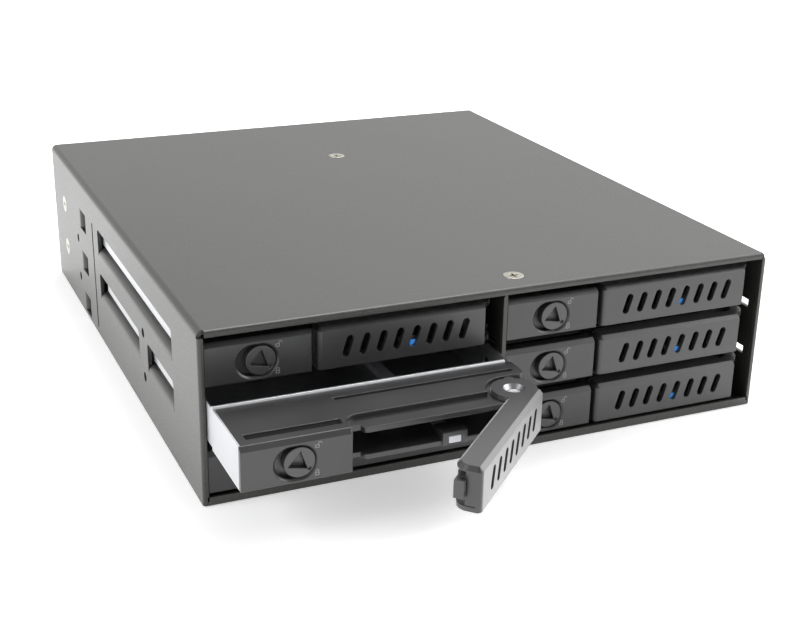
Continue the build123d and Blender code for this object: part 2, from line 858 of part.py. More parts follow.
def latch_block():
    """Left end of the front moulding: hollow, with the button's recess in its face."""
    body = block(side_sheet, block_right, 0, front_depth, 0, tray_height)
    body += block(0, side_sheet, 0, face_wrap, 0, tray_height)
    face_edges = body.edges().filter_by(Axis.X).group_by(Axis.Y)[0].sort_by(Axis.Z)
    body = chamfer(face_edges[-1], face_bevel)
    low_edge = body.edges().filter_by(Axis.X).group_by(Axis.Z)[0].sort_by(Axis.Y)[0]
    body = fillet(low_edge, face_round)
    inner_left = side_sheet + mould_wall
    inner_right = block_right - mould_wall
    body -= block(inner_left, inner_right, face_wall, front_depth + 1, mould_wall, tray_height - mould_wall)
    body -= block(inner_right - seam, block_right + seam, face_wall, hook_window_rear,
                  shelf_low + hook_window_room, shelf_high - shelf_gap)
    spread = latch_travel + recess_spare
    recess_r = disc_r + recess_margin
    place = Pos(disc_u - spread / 2, disc_centre_w)
    body -= inward(place * SlotCenterToCenter(spread, 2 * recess_r), -1, recess_depth)
    rim = body.edges().group_by(Axis.Y)[0]
    rim = rim.filter_by(lambda e: abs(e.center().Z - disc_centre_w) < recess_r + seam)
    rim = rim.filter_by(lambda e: abs(e.center().X - disc_u) < 2 * recess_r)
    land = disc_centre_w - recess_r - face_round
    body = chamfer(rim, min(recess_bevel, land - seam))
    slot_r = hub_post_r + hub_slot_play
    body -= inward(place * SlotCenterToCenter(spread, 2 * slot_r), 0, face_wall + 1)
    groove_left = side_sheet + block_groove_inset
    groove_rear = block_groove_v + block_groove_width
    top = tray_height + 1
    groove_floor = tray_height - groove_depth
    body -= block(groove_left, block_right - block_groove_end, block_groove_v, groove_rear, groove_floor, top)
    return body


def front():
    """Front moulding: latch block, stepped upper and lower walls, back wall, lamp boss."""
    right = tray_width - side_sheet
    body = latch_block()
    body += upward(shelf_plan(), shelf_high, shelf_top)
    body += upward(layer_plan(tray_width), shelf_top, tray_height)
    under_shelf = lever_wall + shelf_gap
    body += upward(shelf_plan(), under_shelf, shelf_low)
    body += upward(layer_plan(right), 0, under_shelf)
    body += post(pivot_u, pivot_v, under_shelf, shelf_top, pivot_boss_r)
    wall_front = front_depth - back_wall
    body += block(block_right, right, wall_front, front_depth, under_shelf, shelf_top)
    body += block(right - mould_wall, right, arm_front, front_depth, under_shelf, shelf_top)
    vent_left = block_right + back_vent_margin
    vent_span = right - back_vent_margin - vent_left
    vent_width = (vent_span - (back_vent_count - 1) * back_vent_bridge) / back_vent_count
    vent_bottom = pipe_window_bottom + pipe_height + mould_wall
    for index in range(back_vent_count):
        u = vent_left + index * (vent_width + back_vent_bridge)
        vent = block(u, u + vent_width, wall_front - 1, front_depth + 1, vent_bottom, shelf_high)
        body -= vent
    boss_left = pipe_u - boss_width / 2
    body += block(boss_left, boss_left + boss_width, boss_front, boss_front + boss_depth,
                  under_shelf, under_shelf + boss_height)
    body -= pipe_channel(front_depth + 1)
    groove_left = block_right + arm_groove_inset
    body -= block(groove_left, right - arm_groove_inset, arm_groove_v, arm_groove_v + groove_width,
                  tray_height - groove_depth, tray_height + 1)
    return body - post(pivot_u, pivot_v, 0, tray_height, pin_r + pin_press)


def light_pipe():
    """Clear bar from the window in the front to the lamp on the board."""
    side = pipe_side(0, boss_front, carrier_length - pipe_end_gap)
    return sideways(side, pipe_u - pipe_width / 2, pipe_u + pipe_width / 2)


def lever_plate_plan():
    """Outline of the lever's upper and lower plates: rounded free end, pivot ear, cam nose."""
    plan = rect(lever_left, pivot_u, 0, lever_depth)
    ends = plan.vertices().group_by(Axis.X)[0].sort_by(Axis.Y)
    plan = fillet(ends[-1], lever_end_round)
    ends = plan.vertices().group_by(Axis.Y)[0].sort_by(Axis.X)
    plan = fillet(ends[0], lever_corner)
    plan += rect(pivot_u - lever_corner, lever_right, 0, pivot_v)
    plan += Pos(pivot_u, pivot_v) * Circle(ear_r)
    nose_at = nose_reach - nose_r
    nose_u = pivot_u + nose_at * cos(radians(nose_angle))
    nose_v = pivot_v + nose_at * sin(radians(nose_angle))
    return plan + Pos(nose_u, nose_v) * Circle(nose_r)


def lever_end_plan():
    """Curved end wall under the upper plate at the free end."""
    cu = lever_left + lever_end_round
    cv = lever_depth - lever_end_round
    outer_r = lever_end_round - end_wall_inset
    ring = Circle(outer_r) - Circle(outer_r - end_wall_thick)
    wall = Pos(cu, cv) * (ring & rect(-outer_r, 0, 0, outer_r))
    left = lever_left + end_wall_inset
    return wall + rect(left, left + end_wall_thick, lever_corner, cv)


def lever():
    """Swing-out handle: a channel with slotted face, pivot ears and a hook at the free end."""
    plan = lever_plate_plan()
    face = rect(lever_left, lever_right, 0, lever_wall)
    corner = face.vertices().sort_by(Axis.X)[:2].sort_by(Axis.Y)[0]
    face = fillet(corner, lever_corner)
    body = upward(face, 0, tray_height)
    body += upward(plan, 0, lever_wall)
    body += upward(plan, tray_height - lever_wall, tray_height)
    edges = body.edges().filter_by(Axis.X).group_by(Axis.Y)[0].sort_by(Axis.Z)
    body = chamfer(edges[-1], lever_bevel)
    edges = body.edges().filter_by(Axis.X).group_by(Axis.Y)[0].sort_by(Axis.Z)
    body = fillet(edges[0], lever_edge_round)
    low_corner = rect(lever_right - lever_low_round, lever_right + 1, -1, lever_low_round)
    low_corner -= Pos(lever_right - lever_low_round, lever_low_round) * Circle(lever_low_round)
    body -= inward(low_corner, -1, lever_wall + seam)
    end_plan = lever_end_plan()
    body += upward(end_plan, shelf_low + shelf_gap, shelf_high - shelf_gap)
    end_front = end_plan & rect(lever_left, lever_left + lever_end_round, 0, shelf_notch_depth - shelf_gap)
    body += upward(end_front, lever_wall, tray_height - lever_wall)
    tip = block_right + hook_gap
    hook = rect(tip, lever_left + hook_root, hook_front, hook_front + hook_thick)
    hook += rect(tip, tip + hook_lip, hook_front - hook_lip, hook_front)
    body += upward(hook, hook_bottom, hook_top)
    pitch = (lever_right - lever_left - slot_first - slot_last) / (slot_count - 1)
    for index in range(slot_count):
        u = lever_left + slot_first + index * pitch
        slot_place = Pos(u, slot_centre_share * tray_height) * Rot(0, 0, slot_lean)
        slot = slot_place * SlotOverall(slot_share * tray_height, slot_width)
        body -= inward(slot, -1, lever_wall + seam)
    body -= post(pivot_u, pivot_v, -1, tray_height + 1, pin_r + pin_play)
    cone_top = tray_height - countersink_depth / 2
    return body - Pos(pivot_u, pivot_v, cone_top) * Cone(pin_r + pin_play, countersink_r, countersink_depth)


def pivot_pin():
    return post(pivot_u, pivot_v, pin_foot, tray_height - countersink_depth, pin_r)


def latch_slider():
    """Sliding plate behind the face: carries the lock disc, its arm ends at the hook's window."""
    left = disc_u - slider_left_reach
    right = disc_u + slider_right_reach
    plate = rect(left, right, disc_centre_w - slider_half_height, disc_centre_w + slider_half_height)
    plate = fillet(plate.vertices(), slider_corner)
    arm = rect(right - 2 * slider_corner, block_right - catch_gap, hook_bottom, hook_top - catch_top_room)
    outline = plate + arm - Pos(disc_u, disc_centre_w) * Circle(hub_post_r + hub_post_play)
    return inward(outline, slider_front, slider_rear)


def lock_disc():
    """Round button with a triangular key recess and a dot, on a post that turns in the slider."""
    rear = recess_depth - disc_floor_gap
    body = rod(0, 0, disc_face, rear, disc_r) + rod(0, 0, rear, slider_rear, hub_post_r)
    key = Pos(-key_shift, 0) * Rot(0, 0, key_turn) * RegularPolygon(key_r, 3, rotation=90)
    body -= inward(key, 0, disc_face + key_depth)
    dot_x = dot_reach * cos(radians(dot_angle))
    dot_z = dot_reach * sin(radians(dot_angle))
    body -= rod(dot_x, dot_z, 0, disc_face + dot_depth, dot_r)
    return Pos(disc_u, 0, disc_centre_w) * body


def latch_spring():
    """Zigzag leaf spring between the block's left wall and the slider."""
    reach = spring_wire / 2 + spring_end_gap
    left = side_sheet + mould_wall + reach
    right = disc_u - slider_left_reach - reach
    near = slider_front + reach
    far = slider_rear - reach
    points = []
    for index in range(spring_turns + 1):
        u = left + (right - left) * index / spring_turns
        points.append((u, far if index % 2 else near))
    strip = trace(Polyline(*points), spring_wire)
    return upward(strip, disc_centre_w - spring_half_height, disc_centre_w + spring_half_height)


# Writing the pieces

def write(node, shape):
    export_step(Pos(0, -cage_depth / 2, 0) * shape, f"parts/{node}.step")


def all_screws():
    screws = [place * screw(length) for place, length in screw_places()]
    for z in board_screw_z:
        screws.append(Pos(board_screw_x, board_back, z) * Rot(-90, 0, 0) * board_screw())
    return Compound(screws)


def fan_pair(shape):
    return [Pos(x, 0, fan_z) * shape for x in (-fan_centre_x, fan_centre_x)]


def swung(piece):
    """The lever turned open about its pivot."""
    return Pos(pivot_u, pivot_v, 0) * Rot(0, 0, lever_open) * Pos(-pivot_u, -pivot_v, 0) * piece


os.makedirs("parts", exist_ok=True)
write("cover", cover())
write("bottom_plate", bottom_plate())
write("centre_wall", centre_wall())
write("backplane_board", backplane_board())
write("drive_sockets", drive_sockets())
write("status_leds", status_leds())
write("rear_ports", rear_ports())
write("rear_panel", rear_panel())
write("fan_frames", Compound(fan_pair(fan_frame())))
rotor_left, rotor_right = fan_pair(fan_rotor())
write("fan_rotor_left", rotor_left)
write("fan_rotor_right", rotor_right)
write("screws", all_screws())

tray_pieces = {
    "carrier": carrier(),
    "front": front(),
    "light_pipe": light_pipe(),
    "lever": lever(),
    "pivot_pin": pivot_pin(),
    "latch_slider": latch_slider(),
    "lock_disc": lock_disc(),
    "latch_spring": latch_spring(),
}
for column in columns:
    for row in rows:
        bay = f"{column}_{row}"
        pulled = bay == pulled_tray
        place = Pos(tray_x(column), face_setback - (pull_out if pulled else 0), row_z(row))
        for name, piece in tray_pieces.items():
            shown = swung(piece) if pulled and name == "lever" else piece
            write(f"{bay}_{name}", place * shown)
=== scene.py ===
import math
import bpy
import numpy as np
from mathutils import Matrix, Vector


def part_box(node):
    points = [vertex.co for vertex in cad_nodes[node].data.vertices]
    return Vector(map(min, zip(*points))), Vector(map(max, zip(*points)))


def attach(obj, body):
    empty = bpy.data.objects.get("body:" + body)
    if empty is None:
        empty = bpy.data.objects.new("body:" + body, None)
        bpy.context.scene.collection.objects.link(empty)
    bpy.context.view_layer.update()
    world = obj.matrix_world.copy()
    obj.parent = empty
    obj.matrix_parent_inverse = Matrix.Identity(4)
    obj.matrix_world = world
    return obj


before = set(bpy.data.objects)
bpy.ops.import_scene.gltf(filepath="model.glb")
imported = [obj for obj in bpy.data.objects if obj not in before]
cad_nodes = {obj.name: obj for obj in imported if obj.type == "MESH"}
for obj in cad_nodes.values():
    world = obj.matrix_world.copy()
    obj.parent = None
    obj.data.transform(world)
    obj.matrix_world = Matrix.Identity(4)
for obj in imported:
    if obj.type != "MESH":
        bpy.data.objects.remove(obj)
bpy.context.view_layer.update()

# Sheet metal of the cage: cover, base, centre wall and back panel.
# Folded steel with a baked powder coat, near black, whose fine orange-peel grain turns it grey
# where it is seen at a low angle, with a faint bloom of dust where the coat is lighter.
coat_dark = (0.011, 0.0108, 0.009, 1)
coat_light = (0.03, 0.0296, 0.0258, 1)
edge_metres = 0.0003
mix_first = 6
mix_second = 7
mix_colour = 2


def add_node(tree, kind, values=(), **settings):
    """One shader node with its settings and the default values of its sockets."""
    node = tree.nodes.new(kind)
    for name, value in settings.items():
        setattr(node, name, value)
    for socket, value in dict(values).items():
        node.inputs[socket].default_value = value
    return node


def add_colour_mix(tree, **colours):
    """Mix node for colours, with its first and second colour where they are constant."""
    sockets = {"first": mix_first, "second": mix_second}
    values = {sockets[place]: colour for place, colour in colours.items()}
    return add_node(tree, "ShaderNodeMix", values, data_type="RGBA")


def start_material(name, **constants):
    """New material: constant sockets are set on the Principled shader itself."""
    material = bpy.data.materials.new(name)
    material.use_nodes = True
    shader = material.node_tree.nodes["Principled BSDF"]
    for socket, value in constants.items():
        shader.inputs[socket.replace("_", " ")].default_value = value
    return material, material.node_tree, shader


def group_socket(group, name, direction, kind="NodeSocketFloat", value=None):
    """Named input or output of a node group."""
    socket = group.interface.new_socket(name=name, in_out=direction, socket_type=kind)
    if value is not None:
        socket.default_value = value


def make_grain_group():
    """Grain of a sprayed or moulded skin: Height adds a fine noise to one about half as fine, and
    Tone adds a slow drift of the surface's shade to flecks of the fine noise."""
    group = bpy.data.node_groups.new("fine_grain", "ShaderNodeTree")
    group_socket(group, "Vector", "INPUT", "NodeSocketVector")
    group_socket(group, "Grains", "INPUT", value=2000.0)
    group_socket(group, "Drift", "INPUT", value=18.0)
    group_socket(group, "Fleck", "INPUT", value=0.35)
    group_socket(group, "Height", "OUTPUT")
    group_socket(group, "Tone", "OUTPUT")
    inputs = add_node(group, "NodeGroupInput")
    outputs = add_node(group, "NodeGroupOutput")
    fine = add_node(group, "ShaderNodeTexNoise", {"Detail": 2.0, "Roughness": 0.55})
    half = add_node(group, "ShaderNodeMath", {1: 0.42}, operation="MULTIPLY")
    broad = add_node(group, "ShaderNodeTexNoise", {"Detail": 1.0, "Roughness": 0.5})
    slow = add_node(group, "ShaderNodeTexNoise", {"Detail": 3.0, "Roughness": 0.6})
    height = add_node(group, "ShaderNodeMath", operation="ADD")
    centred = add_node(group, "ShaderNodeMath", {1: 0.5}, operation="SUBTRACT")
    share = add_node(group, "ShaderNodeMath", operation="MULTIPLY")
    tone = add_node(group, "ShaderNodeMath", operation="ADD")
    link = group.links.new
    for noise in (fine, broad, slow):
        link(inputs.outputs["Vector"], noise.inputs["Vector"])
    link(inputs.outputs["Grains"], fine.inputs["Scale"])
    link(inputs.outputs["Grains"], half.inputs[0])
    link(half.outputs[0], broad.inputs["Scale"])
    link(inputs.outputs["Drift"], slow.inputs["Scale"])
    link(fine.outputs["Fac"], height.inputs[0])
    link(broad.outputs["Fac"], height.inputs[1])
    link(fine.outputs["Fac"], centred.inputs[0])
    link(centred.outputs[0], share.inputs[0])
    link(inputs.outputs["Fleck"], share.inputs[1])
    link(slow.outputs["Fac"], tone.inputs[0])
    link(share.outputs[0], tone.inputs[1])
    link(height.outputs[0], outputs.inputs["Height"])
    link(tone.outputs[0], outputs.inputs["Tone"])
    return group


grain_group = make_grain_group()


def grained_material(name, dark, light, rough, grains, drift, bump_metres, bump_strength, fleck=0.35,
                     **constants):
    """Paint, plastic or metal whose shade, gloss and relief follow the grain group. Grains and drift
    are counts per metre, and rough is the roughness of the darker and of the paler patches."""
    material, tree, shader = start_material(name, **constants)
    place = add_node(tree, "ShaderNodeTexCoord")
    grain = add_node(tree, "ShaderNodeGroup", node_tree=grain_group)
    grain.inputs["Grains"].default_value = grains
    grain.inputs["Drift"].default_value = drift
    grain.inputs["Fleck"].default_value = fleck
    shade = add_colour_mix(tree, first=dark, second=light)
    gloss = add_node(tree, "ShaderNodeMapRange", {"From Min": 0.3, "From Max": 0.8})
    gloss.inputs["To Min"].default_value = rough[0]
    gloss.inputs["To Max"].default_value = rough[1]
    bump = add_node(tree, "ShaderNodeBump", {"Strength": bump_strength, "Distance": bump_metres})
    soft_edge = add_node(tree, "ShaderNodeBevel", {"Radius": edge_metres}, samples=6)
    link = tree.links.new
    link(soft_edge.outputs[0], bump.inputs["Normal"])
    link(place.outputs["Object"], grain.inputs["Vector"])
    link(grain.outputs["Tone"], shade.inputs[0])
    link(grain.outputs["Tone"], gloss.inputs["Value"])
    link(grain.outputs["Height"], bump.inputs["Height"])
    link(shade.outputs[mix_colour], shader.inputs["Base Color"])
    link(gloss.outputs[0], shader.inputs["Roughness"])
    link(bump.outputs[0], shader.inputs["Normal"])
    return material


def dress(material, *names):
    """Gives CAD nodes their material."""
    for name in names:
        mesh = cad_nodes[name].data
        mesh.materials.clear()
        mesh.materials.append(material)


powder_coat = grained_material("powder_coat", coat_dark, coat_light, rough=(0.4, 0.52), grains=2400.0,
                               drift=14.0, bump_metres=0.00005, bump_strength=0.6, fleck=3.0,
                               Specular_IOR_Level=0.3, Coat_Weight=0.7, Coat_Roughness=0.42)
dress(powder_coat, "cover", "bottom_plate", "centre_wall", "rear_panel")

# Countersunk screws of the cage and the levers' pivot pins.
# Zinc-plated screws and bare steel pins; each pin ends in a flared cup that lines the countersink
# of its lever and stays with the tray when the lever swings.
zinc_dark = (0.34, 0.325, 0.28, 1)
zinc_light = (0.52, 0.5, 0.44, 1)
zinc = grained_material("zinc_plate", zinc_dark, zinc_light, rough=(0.24, 0.4), grains=1800.0, drift=420.0,
                        bump_metres=0.00001, bump_strength=0.35, Metallic=1.0)
dress(zinc, "screws")
bays = [f"{column}_{row}" for column in ("left", "right") for row in ("top", "middle", "bottom")]
pin_dark = (0.3, 0.3, 0.31, 1)
pin_light = (0.42, 0.42, 0.43, 1)
pin_steel = grained_material("pin_steel", pin_dark, pin_light, rough=(0.32, 0.46), grains=1800.0, drift=420.0,
                             bump_metres=0.00001, bump_strength=0.35, Metallic=1.0)
dress(pin_steel, *[f"{bay}_pivot_pin" for bay in bays])
cup_foot_radius = 0.00156
cup_rim_radius = 0.00244
cup_depth = 0.00095
cup_lip = 0.00003
cup_rings = 5
cup_sides = 49


def grid_faces(rows, columns):
    """Quads of a rows by columns grid of points numbered row by row."""
    corner = (np.arange(rows - 1)[:, None] * columns + np.arange(columns - 1)[None, :]).ravel()
    return np.stack([corner, corner + 1, corner + columns + 1, corner + columns], axis=1)


def mesh_object(name, points, faces, material):
    """Smooth object at the origin whose mesh holds these points and faces."""
    mesh = bpy.data.meshes.new(name)
    mesh.from_pydata(points.tolist(), [], faces.tolist())
    mesh.materials.append(material)
    mesh.polygons.foreach_set("use_smooth", np.ones(len(faces), dtype=bool))
    mesh.update()
    piece = bpy.data.objects.new(name, mesh)
    bpy.context.scene.collection.objects.link(piece)
    return piece


def cup_points(middle, top):
    """Flared cup about a vertical line: r = foot + (rim - foot) s and z = top - depth (1 - s) - lip s,
    with s running from 0 at the pin to 1 at the rim."""
    share = np.linspace(0, 1, cup_rings)[:, None]
    angle = np.linspace(2 * np.pi, 0, cup_sides)[None, :]
    radius = cup_foot_radius + (cup_rim_radius - cup_foot_radius) * share
    z = top - cup_depth * (1 - share) - cup_lip * share + 0 * angle
    points = np.stack([middle[0] + radius * np.cos(angle), middle[1] + radius * np.sin(angle), z], axis=-1)
    return points.reshape(-1, 3), grid_faces(cup_rings, cup_sides)


for bay in bays:
    pin_low, pin_high = (np.array(corner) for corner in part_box(f"{bay}_pivot_pin"))
    lever_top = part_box(f"{bay}_lever")[1][2]
    cup = mesh_object(f"{bay}_pin_cup", *cup_points((pin_low + pin_high) / 2, lever_top), pin_steel)
    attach(cup, f"{bay}_tray")

# Backplane: circuit board with its drive sockets, lamps and rear ports.
# Green solder mask over woven glass, moulded black connectors, small clear lamps.
board_dark = (0.012, 0.055, 0.03, 1)
board_light = (0.02, 0.085, 0.045, 1)
solder_mask = grained_material("solder_mask", board_dark, board_light, rough=(0.3, 0.42), grains=1500.0,
                               drift=60.0, bump_metres=0.00001, bump_strength=0.3)
dress(solder_mask, "backplane_board")
moulding_dark = (0.012, 0.012, 0.013, 1)
moulding_light = (0.03, 0.03, 0.032, 1)
black_moulding = grained_material("black_moulding", moulding_dark, moulding_light, rough=(0.42, 0.55),
                                  grains=3000.0, drift=40.0, bump_metres=0.00001, bump_strength=0.4)
dress(black_moulding, "drive_sockets", "rear_ports")
lamp_dark = (0.7, 0.74, 0.78, 1)
lamp_light = (0.85, 0.88, 0.9, 1)
lamp_body = grained_material("lamp_body", lamp_dark, lamp_light, rough=(0.15, 0.25), grains=900.0, drift=80.0,
                             bump_metres=0.00001, bump_strength=0.2)
dress(lamp_body, "status_leds")

# Fans: two square housings and their wheels.
# Glass-filled black plastic with a fine moulded grain.
fan_dark = (0.014, 0.014, 0.015, 1)
fan_light = (0.034, 0.034, 0.036, 1)
fan_plastic = grained_material("fan_plastic", fan_dark, fan_light, rough=(0.36, 0.5), grains=2400.0,
                               drift=50.0, bump_metres=0.00001, bump_strength=0.4)
dress(fan_plastic, "fan_frames", "fan_rotor_left", "fan_rotor_right")

# Drive carriers: one thin folded trough for each tray.
# Bright bare sheet steel with rolling marks along its length and a few hazy smudges.
sheet_dark = (0.52, 0.525, 0.54, 1)
sheet_light = (0.62, 0.625, 0.64, 1)
sheet_rough = (0.4, 0.55)


def make_rolled_sheet():
    """Bright sheet: a noise stretched forty times along Y gives the rolling lines, and a slow
    noise gives hazier patches."""
    material, tree, shader = start_material("bright_sheet", Metallic=1.0)
    place = add_node(tree, "ShaderNodeTexCoord")
    stretch = add_node(tree, "ShaderNodeMapping", {"Scale": (1.0, 0.025, 1.0)})
    lines = add_node(tree, "ShaderNodeTexNoise", {"Scale": 5200.0, "Detail": 3.0, "Roughness": 0.6})
    haze = add_node(tree, "ShaderNodeTexNoise", {"Scale": 45.0, "Detail": 4.0, "Roughness": 0.6})
    shade = add_colour_mix(tree, first=sheet_dark, second=sheet_light)
    gloss = add_node(tree, "ShaderNodeMapRange", {"From Min": 0.3, "From Max": 0.7})
    gloss.inputs["To Min"].default_value = sheet_rough[0]
    gloss.inputs["To Max"].default_value = sheet_rough[1]
    bump = add_node(tree, "ShaderNodeBump", {"Strength": 0.05, "Distance": 0.000005})
    link = tree.links.new
    link(place.outputs["Object"], stretch.inputs["Vector"])
    link(stretch.outputs[0], lines.inputs["Vector"])
    link(place.outputs["Object"], haze.inputs["Vector"])
    link(lines.outputs["Fac"], shade.inputs[0])
    link(haze.outputs["Fac"], gloss.inputs["Value"])
    link(lines.outputs["Fac"], bump.inputs["Height"])
    link(shade.outputs[mix_colour], shader.inputs["Base Color"])
    link(gloss.outputs[0], shader.inputs["Roughness"])
    link(bump.outputs[0], shader.inputs["Normal"])
    return material


bright_sheet = make_rolled_sheet()
dress(bright_sheet, *[f"{bay}_carrier" for bay in bays])

# Front mouldings, levers and lock discs.
# Near-black moulded plastic with a satin spray finish that picks up the paper around it; the discs
# are a shade lighter.
front_dark = (0.022, 0.022, 0.023, 1)
front_light = (0.036, 0.036, 0.037, 1)
satin_front = grained_material("satin_front", front_dark, front_light, rough=(0.3, 0.38), grains=4200.0,
                               drift=30.0, bump_metres=0.00001, bump_strength=0.4, Specular_IOR_Level=0.62)
dress(satin_front, *[f"{bay}_front" for bay in bays])
lever_dark = (0.026, 0.026, 0.027, 1)
lever_light = (0.044, 0.044, 0.045, 1)
satin_lever = grained_material("satin_lever", lever_dark, lever_light, rough=(0.28, 0.38), grains=3600.0,
                               drift=40.0, bump_metres=0.000014, bump_strength=0.5, Specular_IOR_Level=0.1,
                               Coat_Weight=1.0, Coat_Roughness=0.3, Sheen_Weight=1.0, Sheen_Roughness=0.25)
dress(satin_lever, *[f"{bay}_lever" for bay in bays])
disc_dark = (0.03, 0.03, 0.031, 1)
disc_light = (0.048, 0.048, 0.049, 1)
satin_disc = grained_material("satin_disc", disc_dark, disc_light, rough=(0.3, 0.4), grains=4200.0,
                              drift=60.0, bump_metres=0.00001, bump_strength=0.4, Specular_IOR_Level=0.7)
dress(satin_disc, *[f"{bay}_lock_disc" for bay in bays])

# Dark strips in the grooves on top of each front moulding, one over the latch block and one over the arm.
# Painted shade: a matt near-black sheet lies on the floor of each groove and stands in for the shade down in
# the groove;
# each strip's span across and along the moulding is counted from the moulding's low left front corner.
groove_shade_dark = (0.006, 0.006, 0.006, 1)
groove_shade_light = (0.014, 0.014, 0.014, 1)
# This material is painted shade: near-black and matt with little gloss, so each groove's floor reads as in
# shade.
groove_shade_sheet = grained_material("painted_groove_shade", groove_shade_dark, groove_shade_light, rough=(0.85, 0.95), grains=5000.0, drift=90.0,
                        bump_metres=0.00002, bump_strength=0.6, Specular_IOR_Level=0.1)
groove_depth = 0.0005
strip_lift = 0.00003
block_strip = ((0.00235, 0.02325), (0.00345, 0.00555))
arm_strip = ((0.02575, 0.06875), (0.01455, 0.01565))


def strip_points(across, along, height):
    """Flat strip: x and y run over the two spans, and z is the height."""
    x, y = np.meshgrid(np.array(across), np.array(along))
    points = np.stack([x, y, np.full_like(x, height)], axis=-1)
    return points.reshape(-1, 3), grid_faces(len(along), len(across))


for bay in bays:
    front_low, front_high = (np.array(corner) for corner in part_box(f"{bay}_front"))
    groove_floor = front_high[2] - front_low[2] - groove_depth
    for place, (across, along) in (("block", block_strip), ("arm", arm_strip)):
        # Each strip is a sheet of painted shade lying just above its groove's floor.
        points, faces = strip_points(across, along, groove_floor + strip_lift)
        strip = mesh_object(f"{bay}_{place}_strip", points + front_low, faces, groove_shade_sheet)
        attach(strip, f"{bay}_tray")

# Catches behind the buttons and their leaf springs.
# Black moulded slider, bare spring steel strip bent in a zigzag.
dress(black_moulding, *[f"{bay}_latch_slider" for bay in bays])
spring_dark = (0.4, 0.4, 0.4, 1)
spring_light = (0.6, 0.6, 0.6, 1)
spring_steel = grained_material("spring_steel", spring_dark, spring_light, rough=(0.25, 0.4), grains=2000.0,
                                drift=200.0, bump_metres=0.00001, bump_strength=0.3, Metallic=1.0)
dress(spring_steel, *[f"{bay}_latch_spring" for bay in bays])

# Light pipes: a clear moulded bar in each tray, frosted at the window in the front.
# Behind a closed tray the board's lamp shines through it, so its front end shows blue.
pipe_clear = (0.7, 0.71, 0.76, 1)
pipe_frost = (0.8, 0.81, 0.87, 1)
lamp_blue = (0.03, 0.17, 0.48, 1)
no_light = (0, 0, 0, 1)
lit_length = 0.0045
pulled_bay = "left_middle"


def clear_plastic(name):
    """Clear plastic, frosted by a fine grain."""
    return grained_material(name, pipe_clear, pipe_frost, rough=(0.12, 0.3), grains=1500.0, drift=90.0,
                            bump_metres=0.00001, bump_strength=0.2)


def add_lamp_glow(material, front_y):
    """Blue colour and glow at a pipe's front end, which fade out along Y over the lit length."""
    tree = material.node_tree
    shader = tree.nodes["Principled BSDF"]
    shader.inputs["Emission Strength"].default_value = 1.0
    clear_shade = shader.inputs["Base Color"].links[0].from_socket
    place = add_node(tree, "ShaderNodeTexCoord")
    parts = add_node(tree, "ShaderNodeSeparateXYZ")
    fade = add_node(tree, "ShaderNodeMapRange", {"From Min": front_y, "From Max": front_y + lit_length})
    glow = add_colour_mix(tree, first=lamp_blue, second=no_light)
    body = add_colour_mix(tree, first=lamp_blue)
    link = tree.links.new
    link(place.outputs["Object"], parts.inputs[0])
    link(parts.outputs["Y"], fade.inputs["Value"])
    link(fade.outputs[0], glow.inputs[0])
    link(glow.outputs[mix_colour], shader.inputs["Emission Color"])
    link(fade.outputs[0], body.inputs[0])
    link(clear_shade, body.inputs[mix_second])
    link(body.outputs[mix_colour], shader.inputs["Base Color"])


lit_pipe = clear_plastic("light_pipe_lit")
add_lamp_glow(lit_pipe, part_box("left_top_light_pipe")[0][1])
dark_pipe = clear_plastic("light_pipe_dark")
for bay in bays:
    dress(dark_pipe if bay == pulled_bay else lit_pipe, f"{bay}_light_pipe")

# Padlock signs beside each button, one open above and one closed below.
# Thin pale print on the satin face: the outline of a rounded body and a bent shackle.
sign_dark = (0.22, 0.22, 0.22, 1)
sign_light = (0.31, 0.31, 0.31, 1)
sign_grey = grained_material("sign_print", sign_dark, sign_light, rough=(0.45, 0.55), grains=5000.0,
                             drift=90.0, bump_metres=0.000004, bump_strength=0.3)
sign_lift = 0.00002
sign_body_half = (0.00048, 0.0004)
sign_stroke = 0.00017
body_power = 5
body_sides = 33
shackle_radius = 0.00031
shackle_leg = 0.00028
short_leg_share = 0.5
shackle_steps = 25
open_sign_offset = (0.00375, 0.0031)
closed_sign_offset = (0.0037, -0.00315)


def outline_points():
    """Outline of a rounded plate: a band between two superellipses of power n,
    r = (|cos/a|^n + |sin/b|^n)^(-1/n), the inner one smaller all round by the stroke."""
    angle = np.linspace(0, 2 * np.pi, body_sides)
    shrink = np.array([0.0, sign_stroke])[:, None]
    across = np.abs(np.cos(angle) / (sign_body_half[0] - shrink)) ** body_power
    upright = np.abs(np.sin(angle) / (sign_body_half[1] - shrink)) ** body_power
    edge = (across + upright) ** (-1 / body_power)
    points = np.stack([edge * np.cos(angle), np.full_like(edge, -sign_lift), edge * np.sin(angle)], axis=-1)
    return points.reshape(-1, 3), grid_faces(2, body_sides)


def shackle_points(turned):
    """Shackle: two straight legs and a half circle, as a flat band of even width; open, it is
    moved along to the right so that only its left leg meets the body."""
    angle = np.pi * (1 - np.linspace(0, 1, shackle_steps))
    x = np.concatenate([[-1.0], np.cos(angle), [1.0]])
    outward_z = np.concatenate([[0.0], np.sin(angle), [0.0]])
    base_z = np.concatenate([[0.0], np.full(shackle_steps, shackle_leg), [0.0]])
    base_z[-1] = shackle_leg * short_leg_share if turned else 0.0
    reach = np.array([shackle_radius - sign_stroke / 2, shackle_radius + sign_stroke / 2])
    px = x[None, :] * reach[:, None]
    pz = base_z[None, :] + outward_z[None, :] * reach[:, None]
    shift = 2 * shackle_radius if turned else 0.0
    points = np.stack([px + shift, np.full_like(px, -sign_lift), pz + sign_body_half[1]], axis=-1)
    return points.reshape(-1, 3), grid_faces(2, len(x))


